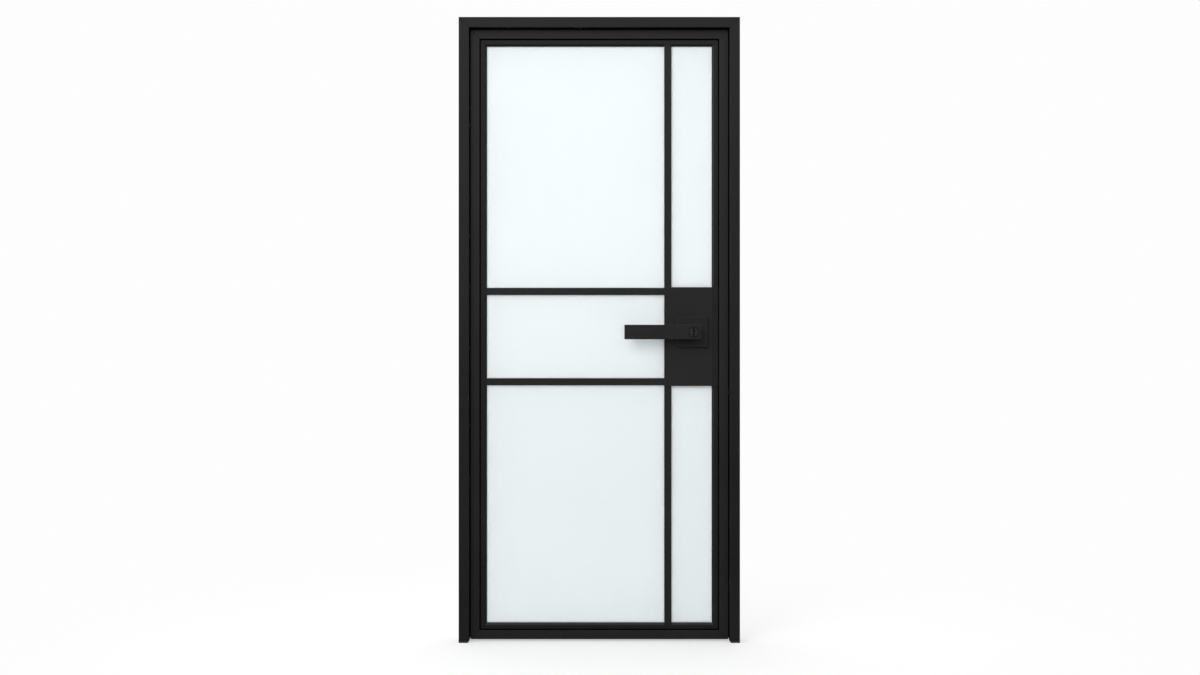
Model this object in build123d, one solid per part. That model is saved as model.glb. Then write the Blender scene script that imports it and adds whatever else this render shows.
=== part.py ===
from build123d import *
import math
import os

# Glass door leaf in its three-sided frame, shown closed and latched. Sizes are in millimetres.
# X runs across the door, hinges on the left. Y runs from the front to the back, and the leaf
# opens towards the back. Z is up from the floor. The origin lies on the floor, in the middle of
# the frame's width and halfway between the foremost and the hindmost point of the lever set.

# Leaf and frame
leaf_width = 860.0
leaf_height = 2034.0
leaf_thick = 40.0
undercut = 7.0
side_gap = 3.0
frame_face = 34.0
frame_wall = 2.0
recess = 30.0
edge_round = 0.8
foot_height = 6.0
foot_cut = 5.0
foot_spigot = 14.0
foot_wall = 2.5
foot_floor = 3.0

# Rebate on the back of the leaf
lap = 12.0
flange_thick = 9.0
seal_gap = 4.0
seal_width = 8.0
seal_base = 1.0
seal_wall = 0.9
seal_clearance = 0.3

# Leaf profile, bead and glazing
stile_face = 30.0
leaf_wall = 1.8
sight_edge = 54.0
bead_set_back = 8.0
bead_joint = 3.4
bead_wall = 1.5
bead_splay = 7.0
bead_nose = 1.5
bead_round = 0.6
glass_thick = 8.0
gasket_thick = 2.0
gasket_width = 5.0
gasket_set_back = 0.5
edge_gap = 6.0
setting_block = 30.0
setting_share = 0.25

# Glazing bars
bar_width = 24.0
bar_web = 5.0
bar_edge_gap = 3.0
bar_chamfer = 1.5
bar_head = 9.0
bar_head_depth = 3.0
bar_head_clearance = 0.2
muntin_inset = 201.0
upper_bar_rise = 136.0
lower_bar_drop = 166.0

# Lock plates and lock box
plate_margin = 2.0
plate_joint = 3.0
plate_thick = 2.5
plate_set_back = 2.0
plate_lip = 2.0
plate_round = 0.5
box_set_in = 9.0
box_wall = 3.0

# Lever set
backset = 118.0
spindle_height = 1032.0
lever_reach = 60.0
lever_length = 253.0
lever_height = 48.0
lever_thick = 14.0
lever_round = 1.4
neck_radius = 17.0
neck_end = 2.5
neck_fillet = 3.0
rose_size = 103.0
rose_thick = 9.0
rose_corner = 4.0
rose_chamfer = 1.4
rose_bolt_radius = 2.5
rose_bolt_offset = 38.0
rose_bolt_grip = 6.0
spindle_side = 12.0
spindle_bore = 3.2
spindle_end = 32.0
spindle_hole = 12.0
spindle_corner = 0.6

# Key cylinder and turn button
collar_radius = 18.0
collar_depth = 5.0
collar_proud = 0.8
collar_groove = 1.2
collar_chamfer = 0.4
cylinder_radius = 12.5
cylinder_depth = 21.0
plug_radius = 15.5
plug_head_depth = 3.8
plug_shaft_radius = 8.0
keyway_height = 28.0
keyway_width = 3.4
keyway_depth = 20.0

# Corners of the keyway, as shares of half its width and half its height
keyway_corners = (
    (-1.0, 1.0),
    (1.0, 1.0),
    (1.0, 0.45),
    (2.1, 0.25),
    (2.1, 0.05),
    (1.0, -0.15),
    (1.0, -0.5),
    (1.7, -0.62),
    (1.0, -0.75),
    (1.0, -1.0),
    (-1.0, -1.0),
    (-1.0, -0.35),
    (0.0, -0.2),
    (0.0, 0.1),
    (-1.0, 0.25),
)

# The rod between the levers' locks, and the turn button
tail_radius = 2.6
tail_hole_radius = 5.2
button_stem_radius = 7.0
button_flange_radius = 12.0
button_flange = 3.0
button_grip = 9.0
button_width = 7.0
button_flange_chamfer = 1.0
button_corner = 2.3
button_round = 1.4

# Latch, its case and the strike
latch_set_forward = 5.0
latch_thick = 12.0
latch_height = 24.0
latch_throw = 12.5
latch_back = 26.0
latch_bevel = 9.0
latch_flat = 2.0
tail_thick = 3.0
tail_height = 4.0
finger_reach = 16.0
finger_width = 6.0
finger_thick = 4.0
finger_clearance = 1.0
mesh_clearance = 0.2
case_thick = 16.0
case_height = 60.0
case_wall = 1.5
case_behind_hub = 29.0
hub_radius = 11.0
trunnion_radius = 10.0
hub_side_clearance = 0.3
faceplate_thick = 3.0
faceplate_width = 20.0
faceplate_height = 100.0
case_tab = 46.0
strike_thick = 1.5
strike_width = 22.0
strike_height = 104.0
strike_margin = 1.0
strike_box_wall = 1.5
strike_box_depth = 15.0
strike_screw_offset = 40.0
spring_radius = 2.8
spring_wire = 0.8
spring_turns = 7
bends_per_turn = 10
wire_sides = 6
spring_end_gap = 0.2

# Hinges
hinge_inset = 230.0
hinge_length = 100.0
knuckle_radius = 6.5
knuckle_share = 0.5
knuckle_gap = 0.4
knuckle_clearance = 0.3
notch_clearance = 1.0
pin_radius = 4.0
pin_head_radius = 6.0
pin_head = 3.0
pin_head_round = 1.0
wing_thick = 2.5
frame_wing_width = 22.5
leaf_wing_width = 38.5
wing_edge_gap = 2.5
hinge_screw_spread = 36.0

# Fasteners and clearances
screw_radius = 2.0
screw_head_radius = 4.0
screw_length = 14.0
small_screw_radius = 1.8
small_head_radius = 3.3
small_screw_length = 12.0
fixing_hole_radius = 3.25
fixing_end = 150.0
fixing_inner = 300.0
head_fixing_spread = 500.0
frame_cleat_leg = 88.0
leaf_cleat_leg = 70.0
cleat_wall = 3.0
cleat_clearance = 0.2
cleat_end_gap = 2.0
running_clearance = 0.05
fit_clearance = 0.1
cut_overrun = 1.0

# Places worked out from the sizes above
front_reach = leaf_thick / 2 - plate_set_back + lever_reach + collar_proud
back_reach = leaf_thick / 2 - plate_set_back + lever_reach + button_flange + button_grip
leaf_middle = (front_reach - back_reach) / 2
leaf_front = leaf_middle - leaf_thick / 2
leaf_back = leaf_middle + leaf_thick / 2
leaf_left = -leaf_width / 2
leaf_right = leaf_width / 2
leaf_bottom = undercut
leaf_top = undercut + leaf_height
frame_front = leaf_front - recess
frame_back = leaf_back
frame_left = leaf_left - side_gap - frame_face
frame_right = leaf_right + side_gap + frame_face
frame_top = leaf_top + side_gap + frame_face
rebate_y = leaf_back - flange_thick - seal_gap

glass_front = leaf_middle - glass_thick / 2
glass_back = leaf_middle + glass_thick / 2
pocket_front = glass_front - gasket_thick
pocket_back = glass_back + gasket_thick
bead_front = leaf_front + bead_set_back
leg_back = leaf_back - bead_set_back

muntin_x = leaf_right - muntin_inset
upper_bar_height = spindle_height + upper_bar_rise
lower_bar_height = spindle_height - lower_bar_drop
plate_left = muntin_x - bar_width / 2
plate_right = leaf_right - stile_face - plate_joint
plate_bottom = lower_bar_height - bar_width / 2 - plate_margin
plate_top = upper_bar_height + bar_width / 2 + plate_margin
plate_front = leaf_front + plate_set_back
plate_back = leaf_back - plate_set_back
box_left = plate_left + box_set_in
box_right = leaf_right - stile_face
box_bottom = plate_bottom + box_set_in
box_top = plate_top - box_set_in

spindle_x = leaf_right - backset
lever_front = plate_front - lever_reach
latch_y = leaf_middle - latch_set_forward
latch_tip = leaf_right + latch_throw
tail_bottom = spindle_height + finger_reach + finger_clearance
lug_right = spindle_x - finger_width / 2 - mesh_clearance

hinge_x = leaf_left - side_gap / 2 - lap
hinge_y = leaf_back + knuckle_radius + knuckle_clearance
hinge_heights = (
    leaf_bottom + hinge_inset,
    (leaf_bottom + leaf_top) / 2,
    leaf_top - hinge_inset,
)


def block(x0, x1, y0, y1, z0, z1):
    """A box between two corners."""
    middle = Pos((x0 + x1) / 2, (y0 + y1) / 2, (z0 + z1) / 2)
    return middle * Box(x1 - x0, y1 - y0, z1 - z0)


def outline(points):
    """A flat closed shape through the points."""
    return make_face(Polyline(*points, close=True))


def rounded(points, radius):
    """A flat closed shape through the points, with every corner rounded."""
    shape = outline(points)
    return fillet(shape.vertices(), radius)


def soft_front(shape, front, radius):
    """A section with the corners on its front line rounded."""
    corners = shape.vertices().filter_by_position(Axis.Y, front, front)
    return fillet(corners, radius)


def run(section, at, inward, low, high):
    """A section drawn inward and back, run along a member from low to high along its length."""
    across = Vector(*inward)
    along = across.cross(Vector(0, 1, 0))
    place = Plane(origin=Vector(*at) + along * low, x_dir=across, z_dir=along)
    return extrude(place * section, amount=high - low, dir=along)


def edge_run(section, side, left, bottom, right, top):
    """A section run along one side of an upright rectangle, measured inward from that side."""
    middle_x, middle_z = (left + right) / 2, (bottom + top) / 2
    half_x, half_z = (right - left) / 2, (top - bottom) / 2
    at, inward, half = {
        "left": ((left, 0, middle_z), (1, 0, 0), half_z),
        "right": ((right, 0, middle_z), (-1, 0, 0), half_z),
        "top": ((middle_x, 0, top), (0, 0, -1), half_x),
        "bottom": ((middle_x, 0, bottom), (0, 0, 1), half_x),
    }[side]
    return run(section, at, inward, -half, half)


def mitre(side, left, bottom, right, top, reach):
    """The ground that one side of a mitred rectangle covers."""
    low_left, low_right = (left, bottom), (right, bottom)
    high_left, high_right = (left, top), (right, top)
    inner_low_left, inner_low_right = (left + reach, bottom + reach), (right - reach, bottom + reach)
    inner_high_left, inner_high_right = (left + reach, top - reach), (right - reach, top - reach)
    corners = {
        "left": [low_left, inner_low_left, inner_high_left, high_left],
        "right": [low_right, inner_low_right, inner_high_right, high_right],
        "top": [high_left, inner_high_left, inner_high_right, high_right],
        "bottom": [low_left, inner_low_left, inner_low_right, low_right],
    }[side]
    depth = leaf_thick + recess + abs(leaf_middle)
    return extrude(Plane.XZ * outline(corners), amount=depth, both=True)


def facing(x, y, z, direction):
    """A place whose local Z axis points along the direction."""
    return Plane(origin=(x, y, z), z_dir=direction)


def countersunk(shank, head, length, grow=0.0):
    """A countersunk screw with its flat head at the origin and its shank along minus Z."""
    half = [
        (0, grow),
        (head + grow, grow),
        (head + grow, 0),
        (shank + grow, shank - head),
        (shank + grow, -length - grow),
        (0, -length - grow),
    ]
    if not grow:
        half = half[2:]
        half.append((0, 0))
    return revolve(Plane.XZ * outline(half), Axis.Z)


def cleat(corner_x, corner_z, turn_x, turn_z, width, leg, y0, y1):
    """An angle piece for the inside of a mitre, cut from a hollow extrusion."""

    def angle(inset):
        low, high, end = inset, width - inset, leg - inset
        points = [(low, low), (end, low), (end, high), (high, high), (high, end), (low, end)]
        placed = [(corner_x + turn_x * a, corner_z + turn_z * b) for a, b in points]
        return extrude(Plane.XZ * outline(placed), amount=y1 - y0, dir=(0, 1, 0))

    return Pos(0, y0, 0) * (angle(0) - angle(cleat_wall))


# Frame


def frame_points(inset):
    """Corners of the frame's rebated section, from its outer face inward and from front to back."""
    step = frame_face - lap
    return [
        (inset, frame_front + inset),
        (frame_face - inset, frame_front + inset),
        (frame_face - inset, rebate_y - inset),
        (step - inset, rebate_y - inset),
        (step - inset, frame_back - inset),
        (inset, frame_back - inset),
    ]


def frame_member(side):
    """One hollow side of the frame, mitred at the top."""
    section = rounded(frame_points(0), edge_round) - outline(frame_points(frame_wall))
    below = foot_height - frame_top
    body = edge_run(section, side, frame_left, below, frame_right, frame_top)
    body &= mitre(side, frame_left, below, frame_right, frame_top, frame_face)
    return body & block(frame_left, frame_right, frame_front, frame_back, foot_height, frame_top)


def fixing_places():
    """Heights of the wall fixings up each jamb."""
    middle = frame_top / 2
    return [fixing_end, middle - fixing_inner, middle + fixing_inner, frame_top - fixing_end]


def fixing_y():
    """The fixings are hidden behind the leaf's edge when the door is shut."""
    return (leaf_front + rebate_y) / 2


def jamb(side):
    """A jamb with its wall fixing holes and the holes for its hardware."""
    body = frame_member(side)
    at_x = (frame_left if side == "left" else frame_right - frame_face) + frame_face / 2
    for height in fixing_places():
        body -= facing(at_x, fixing_y(), height, (1, 0, 0)) * Cylinder(fixing_hole_radius, 2 * frame_face)
    if side == "left":
        for tool in frame_screw_tools(fit_clearance):
            body -= tool
    else:
        body -= strike_box_block(fit_clearance)
        for tool in strike_screw_tools(fit_clearance):
            body -= tool
    return body


def head():
    """The frame's head with two ceiling fixings."""
    body = frame_member("top")
    for x in (-head_fixing_spread / 2, head_fixing_spread / 2):
        hole = Cylinder(fixing_hole_radius, 2 * frame_face)
        body -= Pos(x, fixing_y(), frame_top - frame_face / 2) * hole
    return body


def frame_cleats():
    """The two cleats inside the frame's mitres."""
    inset = frame_wall + cleat_clearance
    width = frame_face - 2 * inset
    y0, y1 = frame_front + frame_wall + cleat_end_gap, rebate_y - frame_wall - cleat_end_gap
    left = cleat(frame_left + inset, frame_top - inset, 1, -1, width, frame_cleat_leg, y0, y1)
    right = cleat(frame_right - inset, frame_top - inset, -1, -1, width, frame_cleat_leg, y0, y1)
    return [left, right]


def foot_cap(side):
    """A plug that closes a jamb's lower end, cut away at its inner bottom corner."""
    inward = 1 if side == "left" else -1
    edge = frame_left if side == "left" else frame_right

    def slab(inset, low, high):
        points = [(edge + inward * a, b) for a, b in frame_points(inset)]
        return Pos(0, 0, low) * extrude(outline(points), amount=high - low, dir=(0, 0, 1))

    inset = frame_wall + fit_clearance
    body = slab(0, 0, foot_height) + slab(inset, foot_height, foot_height + foot_spigot)
    body -= slab(inset + foot_wall, foot_floor, foot_height + foot_spigot)
    inner = edge + inward * frame_face
    corner = [(inner, 0), (inner - inward * foot_cut, 0), (inner, foot_cut)]
    return body - extrude(Plane.XZ * outline(corner), amount=2 * (leaf_thick + recess), both=True)


def rebate_seal():
    """One hollow bulb seal run round the three sides of the rebate."""
    middle = frame_face - lap / 2
    half = seal_width / 2
    top = rebate_y + seal_gap - seal_clearance

    def bulb(inset):
        low = rebate_y + (seal_base if inset else 0)
        shoulder = rebate_y + seal_base
        start, end = (middle - half + inset, shoulder), (middle + half - inset, shoulder)
        arc = ThreePointArc(start, (middle, top - inset), end)
        if inset:
            return make_face(arc + Line(end, start))
        base = Polyline(end, (middle + half, low), (middle - half, low), start)
        return make_face(arc + base)

    section = bulb(0) - bulb(seal_wall)
    below = foot_height - frame_top
    seal = None
    for side in ("left", "top", "right"):
        strip = edge_run(section, side, frame_left, below, frame_right, frame_top)
        strip &= mitre(side, frame_left, below, frame_right, frame_top, frame_face)
        seal = strip if seal is None else seal + strip
    return seal & block(frame_left, frame_right, frame_front, frame_back, foot_height, frame_top)


# Strike in the lock jamb


def strike_hole():
    """Half sizes of the strike's opening for the latch."""
    return latch_thick / 2 + strike_margin, latch_height / 2 + strike_margin


def strike_box_block(grow=0.0):
    """Outside of the dust box, or its cut-out in the jamb."""
    half_y, half_z = strike_hole()
    half_y += strike_box_wall + grow
    half_z += strike_box_wall + grow
    face = leaf_right + side_gap
    return block(
        face - grow,
        face + strike_box_depth,
        latch_y - half_y,
        latch_y + half_y,
        spindle_height - half_z,
        spindle_height + half_z,
    )


def strike_box():
    """The open dust box that takes the latch."""
    half_y, half_z = strike_hole()
    face = leaf_right + side_gap
    inside = block(
        face - strike_box_wall,
        face + strike_box_depth - strike_box_wall,
        latch_y - half_y,
        latch_y + half_y,
        spindle_height - half_z,
        spindle_height + half_z,
    )
    return strike_box_block() - inside


def strike_screw_tools(grow=0.0):
    """The two strike screws, or their holes."""
    face = leaf_right + side_gap - strike_thick
    screws = []
    for turn in (-1, 1):
        place = facing(face, latch_y, spindle_height + turn * strike_screw_offset, (-1, 0, 0))
        screws.append(place * countersunk(small_screw_radius, small_head_radius, small_screw_length, grow))
    return screws


def strike_plate():
    """The strike plate on the lock jamb's reveal."""
    face = leaf_right + side_gap
    half_y, half_z = strike_hole()
    plate = block(
        face - strike_thick,
        face,
        latch_y - strike_width / 2,
        latch_y + strike_width / 2,
        spindle_height - strike_height / 2,
        spindle_height + strike_height / 2,
    )
    plate -= block(
        face - 2 * strike_thick,
        face + strike_thick,
        latch_y - half_y,
        latch_y + half_y,
        spindle_height - half_z,
        spindle_height + half_z,
    )
    for tool in strike_screw_tools(fit_clearance):
        plate -= tool
    return plate


# Hinges


def knuckle_bands(height):
    """Height ranges of a hinge's frame knuckles, below and above its leaf knuckle."""
    low, high = height - hinge_length / 2, height + hinge_length / 2
    half = hinge_length * knuckle_share / 2
    below = (low, height - half - knuckle_gap)
    above = (height + half + knuckle_gap, high)
    return below, (height - half, height + half), above


def wing(height, turn, width, own_bands, other_bands):
    """A hinge wing: a plate on the back face, notched for the other wing's knuckles."""
    near = hinge_x + turn * wing_edge_gap
    far = hinge_x + turn * width
    low, high = height - hinge_length / 2, height + hinge_length / 2
    x0, x1 = sorted((near, far))
    body = block(x0, x1, leaf_back, leaf_back + wing_thick, low, high)
    root = hinge_x + turn * knuckle_radius
    r0, r1 = sorted((near, root))
    clear = hinge_x + turn * (knuckle_radius + notch_clearance)
    c0, c1 = sorted((hinge_x, clear))
    for z0, z1 in other_bands:
        body -= block(c0, c1, leaf_back, hinge_y, z0 - knuckle_gap, z1 + knuckle_gap)
    for z0, z1 in own_bands:
        body += Pos(hinge_x, hinge_y, (z0 + z1) / 2) * Cylinder(knuckle_radius, z1 - z0)
        body += block(r0, r1, leaf_back, hinge_y - pin_radius / 2, z0, z1)
    bore = Cylinder(pin_radius + running_clearance, 2 * hinge_length)
    return body - Pos(hinge_x, hinge_y, height) * bore


def frame_wing(height):
    """The wing on the jamb, with the outer knuckles."""
    below, middle, above = knuckle_bands(height)
    body = wing(height, -1, frame_wing_width, (below, above), (middle,))
    for tool in hinge_screws(height, frame_screw_x(), fit_clearance):
        body -= tool
    return body


def leaf_wing(height):
    """The wing on the hinge stile, with the middle knuckle."""
    below, middle, above = knuckle_bands(height)
    body = wing(height, 1, leaf_wing_width, (middle,), (below, above))
    for tool in hinge_screws(height, leaf_screw_x(), fit_clearance):
        body -= tool
    return body


def frame_screw_x():
    """Screw line of the frame wings, in the middle of their plates."""
    return hinge_x - (knuckle_radius + notch_clearance + frame_wing_width) / 2


def leaf_screw_x():
    """Screw line of the leaf wings, in the middle of their plates."""
    return hinge_x + (knuckle_radius + notch_clearance + leaf_wing_width) / 2


def hinge_screws(height, x, grow=0.0):
    """Three countersunk screws up a wing, or their holes."""
    screws = []
    for step in (-1, 0, 1):
        place = facing(x, leaf_back + wing_thick, height + step * hinge_screw_spread, (0, 1, 0))
        screws.append(place * countersunk(screw_radius, screw_head_radius, screw_length, grow))
    return screws


def frame_screw_tools(grow=0.0):
    """All screws of the frame wings."""
    return [screw for height in hinge_heights for screw in hinge_screws(height, frame_screw_x(), grow)]


def leaf_screw_tools(grow=0.0):
    """All screws of the leaf wings."""
    return [screw for height in hinge_heights for screw in hinge_screws(height, leaf_screw_x(), grow)]


def hinge_pin(height):
    """A pin dropped in from above, with a round-edged head."""
    pin = Pos(hinge_x, hinge_y, height) * Cylinder(pin_radius, hinge_length)
    cap = Cylinder(pin_head_radius, pin_head)
    cap = fillet(cap.edges().group_by(Axis.Z)[-1], pin_head_round)
    return pin + Pos(hinge_x, hinge_y, height + hinge_length / 2 + pin_head / 2) * cap


# Leaf


def leaf_section(flange):
    """The leaf's hollow profile, from its edge inward and from front to back."""
    points = [
        (0, leaf_front),
        (stile_face, leaf_front),
        (stile_face, pocket_back),
        (sight_edge, pocket_back),
        (sight_edge, pocket_back + bead_nose),
        (sight_edge - bead_splay, leg_back),
        (stile_face, leg_back),
        (stile_face, leaf_back),
    ]
    hollow = [
        (leaf_wall, leaf_front + leaf_wall),
        (stile_face - leaf_wall, leaf_front + leaf_wall),
        (stile_face - leaf_wall, leaf_back - leaf_wall),
    ]
    if flange:
        lip = leaf_back - flange_thick
        points += [(-lap, leaf_back), (-lap, lip), (0, lip)]
        hollow.append((leaf_wall - lap, leaf_back - leaf_wall))
        hollow.append((leaf_wall - lap, lip + leaf_wall))
        hollow.append((leaf_wall, lip + leaf_wall))
    else:
        points.append((0, leaf_back))
        hollow.append((leaf_wall, leaf_back - leaf_wall))
    leg = [
        (stile_face, pocket_back + bead_wall),
        (sight_edge - bead_splay, pocket_back + bead_wall),
        (sight_edge - bead_splay - bead_wall, leg_back - bead_wall),
        (stile_face, leg_back - bead_wall),
    ]
    return soft_front(outline(points), leaf_front, edge_round) - outline(hollow) - outline(leg)


def leaf_member(side):
    """One side of the leaf, mitred at both ends. Only the bottom rail has no flange."""
    section = leaf_section(side != "bottom")
    left, bottom, right, top = leaf_left - lap, leaf_bottom - lap, leaf_right + lap, leaf_top + lap
    if side in ("left", "right"):
        body = edge_run(section, side, leaf_left, bottom, leaf_right, top)
    else:
        body = edge_run(section, side, left, leaf_bottom, right, leaf_top)
    body &= mitre(side, left, bottom, right, top, sight_edge + lap)
    return body & block(left, right, leaf_front, leaf_back, leaf_bottom, top)


def leaf_cleats():
    """The four cleats inside the leaf's mitres."""
    inset = leaf_wall + cleat_clearance
    width = stile_face - 2 * inset
    y0, y1 = leaf_front + leaf_wall + cleat_end_gap, leaf_back - leaf_wall - cleat_end_gap
    pieces = []
    for edge_x, turn_x in ((leaf_left, 1), (leaf_right, -1)):
        for edge_z, turn_z in ((leaf_bottom, 1), (leaf_top, -1)):
            x, z = edge_x + turn_x * inset, edge_z + turn_z * inset
            pieces.append(cleat(x, z, turn_x, turn_z, width, leaf_cleat_leg, y0, y1))
    return pieces


def bead_points():
    """Outside of the bead, from the leaf's edge inward and from front to back."""
    return [
        (stile_face + bead_joint, bead_front),
        (sight_edge - bead_splay, bead_front),
        (sight_edge, pocket_front - bead_nose),
        (sight_edge, pocket_front),
        (stile_face, pocket_front),
        (stile_face, pocket_front - bead_wall),
        (stile_face + bead_joint, pocket_front - bead_wall),
    ]


def bead_section():
    """The snap-in bead, a splayed channel that is open towards the stile."""
    rise = pocket_front - bead_nose - bead_front
    slant = bead_wall * math.hypot(bead_splay, rise) / rise
    front, back = bead_front + bead_wall, pocket_front - bead_wall
    start = sight_edge - bead_splay - slant
    hollow = [
        (stile_face + bead_joint / 2, front),
        (start + bead_splay * bead_wall / rise, front),
        (start + bead_splay * (back - bead_front) / rise, back),
        (stile_face + bead_joint / 2, back),
    ]
    return soft_front(outline(bead_points()), bead_front, bead_round) - outline(hollow)


def bead(side, section=None):
    """One side of the bead, mitred with its neighbours."""
    section = section or bead_section()
    body = edge_run(section, side, leaf_left, leaf_bottom, leaf_right, leaf_top)
    reach = sight_edge + cut_overrun
    return body & mitre(side, leaf_left, leaf_bottom, leaf_right, leaf_top, reach)


def lock_side_bead(low, high):
    """The lock side's bead is parted by the lock plate."""
    return bead("right") & block(leaf_left, leaf_right, leaf_front, leaf_back, low, high)


def leg_envelope(side):
    """The ground that the leaf's back leg takes up, for coping the bars to it."""
    section = outline(
        [
            (stile_face, pocket_back),
            (sight_edge, pocket_back),
            (sight_edge, pocket_back + bead_nose),
            (sight_edge - bead_splay, leg_back),
            (stile_face, leg_back),
        ]
    )
    return bead(side, section)


# Glazing bars


def bar_face_section():
    """Back flange of a bar with the narrow head that its front cap snaps over."""
    half, cut = bar_width / 2, bar_chamfer
    flange = outline(
        [
            (-half, pocket_back),
            (half, pocket_back),
            (half, leg_back - cut),
            (half - cut, leg_back),
            (cut - half, leg_back),
            (-half, leg_back - cut),
        ]
    )
    wall = bead_wall
    flange -= outline(
        [
            (wall - half, pocket_back + wall),
            (half - wall, pocket_back + wall),
            (half - wall, leg_back - wall),
            (wall - half, leg_back - wall),
        ]
    )
    narrow = bar_head / 2
    return flange + outline(
        [
            (-narrow, pocket_front - bar_head_depth),
            (narrow, pocket_front - bar_head_depth),
            (narrow, pocket_front),
            (-narrow, pocket_front),
        ]
    )


def bar_web_section():
    """The web between two panes."""
    half = bar_web / 2
    return outline([(-half, pocket_front), (half, pocket_front), (half, pocket_back), (-half, pocket_back)])


def cap_section():
    """The front cap, with the channel that grips the bar's head."""
    half, cut = bar_width / 2, bar_chamfer
    cap = outline(
        [
            (-half, pocket_front),
            (-half, bead_front + cut),
            (cut - half, bead_front),
            (half - cut, bead_front),
            (half, bead_front + cut),
            (half, pocket_front),
        ]
    )
    grip = bar_head / 2 + bar_head_clearance
    deep = pocket_front - bar_head_depth - bar_head_clearance
    return cap - outline([(-grip, deep), (grip, deep), (grip, pocket_front), (-grip, pocket_front)])


def bar_run(section, upright, low, high):
    """A section run up a muntin, or along a horizontal bar."""
    if upright:
        return run(section, (muntin_x, 0, 0), (1, 0, 0), low, high)
    return run(section, (0, 0, 0), (0, 0, -1), low, high)


def bead_envelope(side):
    """The ground that the bead takes up, for coping the bars to it."""
    return bead(side, outline(bead_points()))


def muntin_reach(side):
    """Where a muntin's visible part starts and ends, below the top rail or above the bottom rail."""
    if side == "top":
        return plate_top, leaf_top - sight_edge + bead_splay
    return leaf_bottom + sight_edge - bead_splay, plate_bottom


def muntin(side):
    """The upright bar above or below the lock box."""
    web = (box_top, leaf_top - stile_face) if side == "top" else (leaf_bottom + stile_face, box_bottom)
    body = bar_run(bar_face_section(), True, *muntin_reach(side))
    body += bar_run(bar_web_section(), True, *web)
    return body - leg_envelope(side) - bead_envelope(side)


def muntin_cap(side):
    """The front cap of a muntin, coped over the bead's splay."""
    return bar_run(cap_section(), True, *muntin_reach(side)) - bead_envelope(side)


def cross_bar(height):
    """A horizontal bar from the hinge stile to the lock box."""
    body = bar_run(bar_face_section(), False, leaf_left + sight_edge - bead_splay, plate_left)
    body += bar_run(bar_web_section(), False, leaf_left + stile_face, box_left)
    body = Pos(0, 0, height) * body
    return body - leg_envelope("left") - bead_envelope("left")


def cross_cap(height):
    """The front cap of a horizontal bar."""
    body = bar_run(cap_section(), False, leaf_left + sight_edge - bead_splay, plate_left)
    return Pos(0, 0, height) * body - bead_envelope("left")


# Panes, gaskets and setting blocks


def sight_openings():
    """Left, bottom, right and top of each pane's visible area."""
    half = bar_width / 2
    left, right = leaf_left + sight_edge, leaf_right - sight_edge
    low, high = leaf_bottom + sight_edge, leaf_top - sight_edge
    return {
        "pane_upper_left": (left, upper_bar_height + half, muntin_x - half, high),
        "pane_middle_left": (left, lower_bar_height + half, plate_left, upper_bar_height - half),
        "pane_lower_left": (left, low, muntin_x - half, lower_bar_height - half),
        "pane_upper_right": (muntin_x + half, plate_top, right, high),
        "pane_lower_right": (muntin_x + half, low, right, plate_bottom),
    }


def pane_edges():
    """Left, bottom, right and top of each pane, inside its pockets."""
    far = stile_face + edge_gap
    near = bar_web / 2 + bar_edge_gap
    left, right, low, high = leaf_left + far, leaf_right - far, leaf_bottom + far, leaf_top - far
    beside_box = box_left - bar_edge_gap
    return {
        "pane_upper_left": (left, upper_bar_height + near, muntin_x - near, high),
        "pane_middle_left": (left, lower_bar_height + near, beside_box, upper_bar_height - near),
        "pane_lower_left": (left, low, muntin_x - near, lower_bar_height - near),
        "pane_upper_right": (muntin_x + near, box_top + bar_edge_gap, right, high),
        "pane_lower_right": (muntin_x + near, low, right, box_bottom - bar_edge_gap),
    }


def pane(name):
    """A frosted pane."""
    left, low, right, high = pane_edges()[name]
    return block(left, right, glass_front, glass_back, low, high)


def gasket_ring(name, y0, y1):
    """One glazing gasket, a flat ring just behind the sight line."""
    left, low, right, high = sight_openings()[name]
    inner, outer = gasket_set_back, gasket_width
    ring = block(left - outer, right + outer, y0, y1, low - outer, high + outer)
    return ring - block(left - inner, right + inner, y0, y1, low - inner, high + inner)


def gaskets(y0, y1):
    """The gaskets of the five panes on one face."""
    return [gasket_ring(name, y0, y1) for name in sight_openings()]


def setting_blocks():
    """Two blocks under each pane, at the quarter points of its width."""
    blocks = []
    for name, (left, low, right, high) in pane_edges().items():
        on_rail = name in ("pane_lower_left", "pane_lower_right")
        thick = edge_gap if on_rail else bar_edge_gap
        for share in (setting_share, 1 - setting_share):
            x = left + share * (right - left)
            half = setting_block / 2
            blocks.append(block(x - half, x + half, glass_front, glass_back, low - thick, low))
    return blocks


# Lock box and plates


def lock_box():
    """The frame between the two lock plates, closing the joint beside the stile over its whole height."""
    y0, y1 = plate_front + plate_thick, plate_back - plate_thick
    inner = box_right - box_wall
    body = block(box_left, box_right, y0, y1, box_bottom, box_top)
    body -= block(box_left + box_wall, inner, y0, y1, box_bottom + box_wall, box_top - box_wall)
    body += block(inner, box_right, y0, y1, plate_bottom, plate_top)
    return body - case_block(fit_clearance)


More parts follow.
